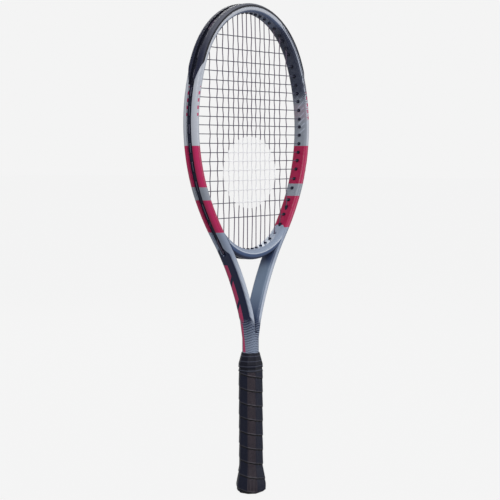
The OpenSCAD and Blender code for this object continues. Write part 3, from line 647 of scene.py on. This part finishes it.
# Wrapped grip
gripSet = {"halfX": 17.0, "halfY": 15.0, "bevel": 8.2, "top": 181.8, "bottom": 3, "flareHeight": 37, "flareLevel": 12,
           "flare": 3.9, "taper": 10, "thin": 1.3, "pitch": 20.5, "seamStart": 178.7, "groove": 0.9, "lift": 0.6,
           "settle": 0.35, "around": 112, "cuts": 100, "wall": 1.2}


# distance from the axis to a rounded octagon, in one direction
def octagonReach(angle, halfX, halfY, bevel):
    c, n = abs(math.cos(angle)), abs(math.sin(angle))
    slant = (halfX + halfY - bevel) / math.sqrt(2)
    sides = [c / halfX, n / halfY, (c + n) / math.sqrt(2) / slant]
    return 1 / sum(v ** 26 for v in sides) ** (1 / 26)


def gripSurface(angle, z, s):
    grow = 0
    if z < s["flareHeight"]:
        grow = s["flare"] * min(1, (s["flareHeight"] - z) / (s["flareHeight"] - s["flareLevel"]))
        if z < s["flareLevel"]:
            grow -= 0.5 * ((s["flareLevel"] - z) / (s["flareLevel"] - s["bottom"])) ** 2
    if z > s["top"] - s["taper"]:
        grow -= s["thin"] * min(1, (z - s["top"] + s["taper"]) / (s["taper"] / 2))
    turn = (z + s["pitch"] * angle / (2 * math.pi) - s["seamStart"]) / s["pitch"]
    phase = turn - math.floor(turn)
    seam = s["lift"] * (1 - phase) - s["groove"] * max(0, 1 - min(phase, 1 - phase) * s["pitch"])
    grow += seam - s["settle"]
    return octagonReach(angle, s["halfX"] + grow, s["halfY"] + grow, s["bevel"] + grow * 0.586)


def buildGrip(s):
    bpy.ops.object.select_all(action="DESELECT")
    bpy.ops.mesh.primitive_cylinder_add(vertices=s["around"], radius=0.016, depth=(s["top"] - s["bottom"]) * mm,
                                        end_fill_type="NOTHING", location=(0, 0, (s["top"] + s["bottom"]) / 2 * mm))
    piece = bpy.context.object
    piece.name = piece.data.name = "wrappedGrip"
    bpy.ops.object.transform_apply(location=True, rotation=True, scale=True)
    # cut every upright edge into rings
    for face in piece.data.polygons:
        face.select = False
    for vertex in piece.data.vertices:
        vertex.select = False
    for edge in piece.data.edges:
        a, b = (piece.data.vertices[v].co for v in edge.vertices)
        edge.select = abs(a.z - b.z) > 0.001
    bpy.ops.object.mode_set(mode="EDIT")
    bpy.ops.mesh.select_mode(type="EDGE")
    bpy.ops.mesh.subdivide(number_cuts=s["cuts"])
    bpy.ops.mesh.select_all(action="SELECT")
    bpy.ops.object.mode_set(mode="OBJECT")
    for vertex in piece.data.vertices:
        angle = math.atan2(vertex.co.y, vertex.co.x) % (2 * math.pi)
        reach = gripSurface(angle, vertex.co.z / mm, s) * mm
        vertex.co.x, vertex.co.y = reach * math.cos(angle), reach * math.sin(angle)
    wall = piece.modifiers.new("wall", "SOLIDIFY")
    wall.thickness = s["wall"] * mm
    wall.offset = -1
    bpy.ops.object.modifier_apply(modifier="wall")
    bpy.ops.object.shade_smooth_by_angle(angle=math.radians(50))
    piece.data.materials.append(materials["base_grip"])
    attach(piece, "racket")
    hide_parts("base_grip")
    print("grip", len(piece.data.polygons), "faces")


buildGrip(gripSet)


# Tie-off knots
knotSet = {"ring": 1.5, "wire": 0.65, "places": ((-1, 16, 3.6), (-1, 18, 3.2))}


def buildKnot(name, place):
    bpy.ops.object.select_all(action="DESELECT")
    bpy.ops.mesh.primitive_torus_add(major_radius=knotSet["ring"] * mm, minor_radius=knotSet["wire"] * mm,
                                     major_segments=16, minor_segments=8, location=[v * mm for v in place],
                                     rotation=(0, math.radians(90), 0))
    piece = bpy.context.object
    bpy.ops.object.transform_apply(location=True, rotation=True, scale=True)
    bpy.ops.object.mode_set(mode="EDIT")
    bpy.ops.mesh.select_all(action="SELECT")
    bpy.ops.mesh.duplicate_move(TRANSFORM_OT_translate={"value": (1.25 * mm, 0, 0)})
    bpy.ops.object.mode_set(mode="OBJECT")
    bpy.ops.object.shade_smooth()
    piece.name = piece.data.name = name
    piece.data.materials.append(materials["cross_strings"])
    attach(piece, "racket")


for number, (side, j, gap) in enumerate(knotSet["places"]):
    z = crossPlaces[j]
    buildKnot("knot" + str(number + 1), (side * (onRight(z, -headSet["beamWidth"]) - gap), -0.7, z))
print("knots tied")

# Studio
studioSet = {"floor": "f4f4f4", "light": 0.55,
             "lamps": (("key", (-1.6, -1.5, 1.9), 1.6, 34), ("fill", (1.4, -2.0, 0.9), 1.4, 16),
                       ("rim", (1.2, 1.6, 1.6), 1.2, 14)),
             "floorGlow": 1.01, "floorShare": 0.97, "floorSize": 40, "paper": "e8e8e8", "lookAt": (0, 0, 0.4)}


# One strength for what the camera sees and another for the light it casts
def splitGlow(tree, seen, cast):
    path = addNode(tree, "ShaderNodeLightPath")
    mix = addNode(tree, "ShaderNodeMix", data_type="FLOAT")
    feed(tree, path.outputs["Is Camera Ray"], mix.inputs[0])
    mix.inputs[2].default_value = cast
    mix.inputs[3].default_value = seen
    return mix.outputs[0]


def buildStudio(s):
    scene = bpy.context.scene
    scene.view_settings.view_transform = "Standard"
    world = bpy.data.worlds.new("studioAir")
    world.use_nodes = True
    scene.world = world
    glow = world.node_tree.nodes["Background"]
    glow.inputs["Color"].default_value = shade(s["floor"])
    world.node_tree.links.new(splitGlow(world.node_tree, 1.0, s["light"]), glow.inputs["Strength"])
    bpy.ops.object.select_all(action="DESELECT")
    bpy.ops.mesh.primitive_plane_add(size=s["floorSize"], location=(0, 0, 0))
    floor = bpy.context.object
    floor.name = "floor"
    material, tree = newMaterial("floorPaper")
    paper = tree.nodes["Principled BSDF"]
    paper.inputs["Base Color"].default_value = shade(s["paper"])
    paper.inputs["Roughness"].default_value = 1.0
    paper.inputs["Specular IOR Level"].default_value = 0.0
    flat = addNode(tree, "ShaderNodeEmission")
    flat.inputs["Color"].default_value = shade(s["floor"])
    tree.links.new(splitGlow(tree, s["floorGlow"], s["light"] * 0.8), flat.inputs["Strength"])
    both = addNode(tree, "ShaderNodeMixShader")
    both.inputs[0].default_value = s["floorShare"]
    tree.links.new(paper.outputs[0], both.inputs[1])
    tree.links.new(flat.outputs[0], both.inputs[2])
    tree.links.new(both.outputs[0], tree.nodes["Material Output"].inputs["Surface"])
    floor.data.materials.append(material)
    for name, place, size, power in s["lamps"]:
        light = bpy.data.lights.new(name, "AREA")
        light.size = size
        light.energy = power
        lamp = bpy.data.objects.new(name, light)
        lamp.location = place
        lamp.rotation_euler = (Vector(s["lookAt"]) - Vector(place)).to_track_quat("-Z", "Y").to_euler()
        scene.collection.objects.link(lamp)


buildStudio(studioSet)
print("studio lit")
